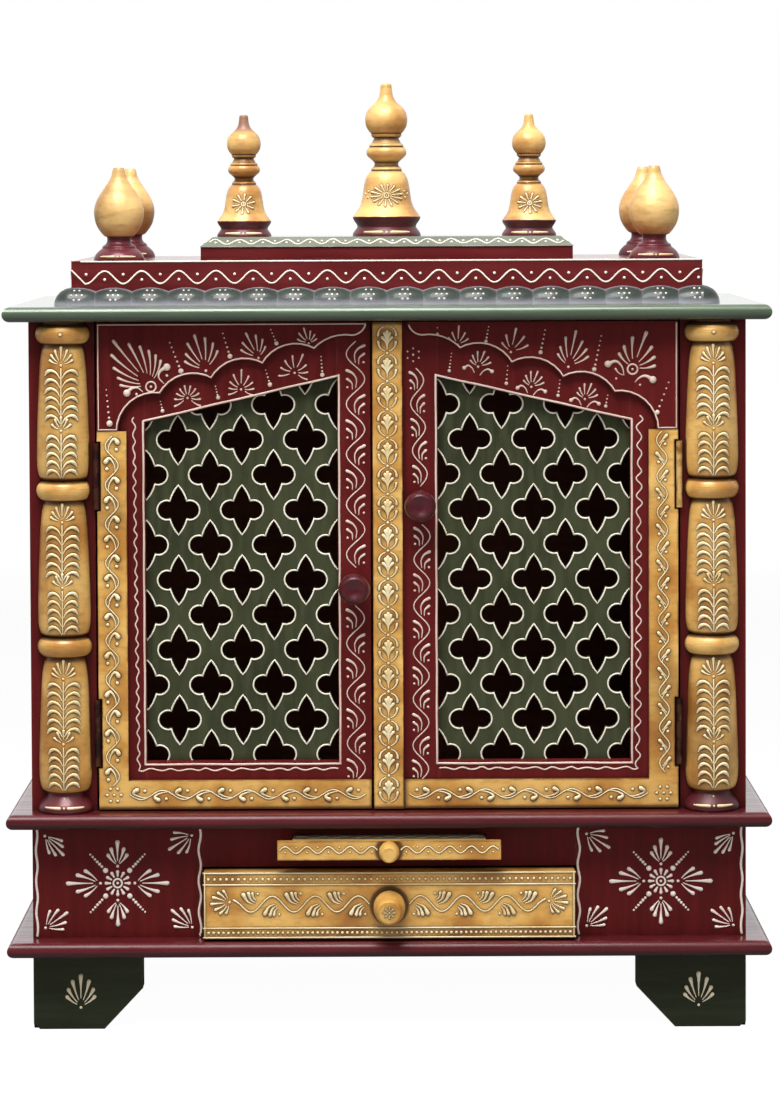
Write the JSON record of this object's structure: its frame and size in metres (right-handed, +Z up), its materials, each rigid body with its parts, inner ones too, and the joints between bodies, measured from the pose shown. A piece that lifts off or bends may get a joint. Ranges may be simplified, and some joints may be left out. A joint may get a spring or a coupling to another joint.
{
  "type": "painted wooden home temple cabinet",
  "caption": "Painted wooden home temple: hollow shrine cabinet with two pierced doors, drawer and pull-out tray in its base, on bracket feet under a stepped roof with turned spires.",
  "frame": {"origin": "on the floor under the middle of the whole, from the drawer knob to the back of the slabs", "axes": "+X to the right seen from the front, +Y to the back, +Z up"},
  "size_m": [0.61, 0.327, 0.7618],
  "materials": {
    "maroon": "satin hand-painted maroon",
    "slab_maroon": "satin hand-painted maroon, worn at the edges",
    "roof_green": "satin hand-painted green, worn at the edges",
    "foot_green": "satin hand-painted dark green",
    "lattice_green": "matt hand-painted green",
    "gold": "satin ochre gold paint with brown wear",
    "spire_gold": "polished ochre gold paint over turned wood",
    "inner_wood": "dark stained wood",
    "hinge_metal": "painted-over steel"
  },
  "bodies": {
    "cabinet": {"foot_front_left": "foot_green", "foot_front_right": "foot_green", "foot_rear_left": "foot_green", "foot_rear_right": "foot_green", "bottom_slab": "slab_maroon", "base_left_side": "maroon", "base_right_side": "maroon", "base_back": "inner_wood", "base_front_left": "maroon", "base_front_right": "maroon", "tray_fascia": "maroon", "drawer_guides": "inner_wood", "tray_runners": "inner_wood", "middle_slab": "slab_maroon", "left_wall": "maroon", "right_wall": "maroon", "back_panel": "inner_wood", "left_stile": "maroon", "right_stile": "maroon", "left_pillar": "gold", "right_pillar": "gold", "roof_slab": "roof_green", "lower_tier": "maroon", "petal_moulding": "roof_green", "upper_tier": "maroon", "upper_cap": "roof_green", "finial_front_left": "spire_gold", "finial_front_right": "spire_gold", "finial_rear_left": "spire_gold", "finial_rear_right": "spire_gold", "centre_spire": "spire_gold", "left_spire": "spire_gold", "right_spire": "spire_gold", "hinge_frame_leaves": "hinge_metal"},
    "left_door": {"left_door_hinge_stile": "maroon", "left_door_meeting_stile": "maroon", "left_door_top_rail": "maroon", "left_door_bottom_rail": "maroon", "left_door_lattice": "lattice_green", "left_door_arch": "maroon", "left_door_trim": "gold", "left_door_knob": "maroon", "left_door_leaves": "hinge_metal"},
    "right_door": {"right_door_hinge_stile": "maroon", "right_door_meeting_stile": "maroon", "right_door_top_rail": "maroon", "right_door_bottom_rail": "maroon", "right_door_lattice": "lattice_green", "right_door_arch": "maroon", "right_door_trim": "gold", "right_door_knob": "maroon", "right_door_leaves": "hinge_metal", "meeting_strip": "gold"},
    "drawer": {"drawer_front": "gold", "drawer_sides": "inner_wood", "drawer_back": "inner_wood", "drawer_bottom": "inner_wood", "drawer_knob": "gold"},
    "tray": {"tray_board": "gold", "tray_front": "gold"}
  },
  "joints": [
    {"name": "left_door_hinge", "type": "hinge", "parent": "cabinet", "child": "left_door", "pos_m": [-0.233, -0.1185, 0.3735], "axis": [0, 0, -1], "range_deg": [0, 90]},
    {"name": "right_door_hinge", "type": "hinge", "parent": "cabinet", "child": "right_door", "pos_m": [0.233, -0.1185, 0.3735], "axis": [0, 0, 1], "range_deg": [0, 90]},
    {"name": "drawer_slide", "type": "slide", "parent": "cabinet", "child": "drawer", "axis": [0, -1, 0], "range_m": [-0.017, 0.14]},
    {"name": "tray_slide", "type": "slide", "parent": "cabinet", "child": "tray", "axis": [0, -1, 0], "range_m": [-0.0207, 0.11]}
  ]
}
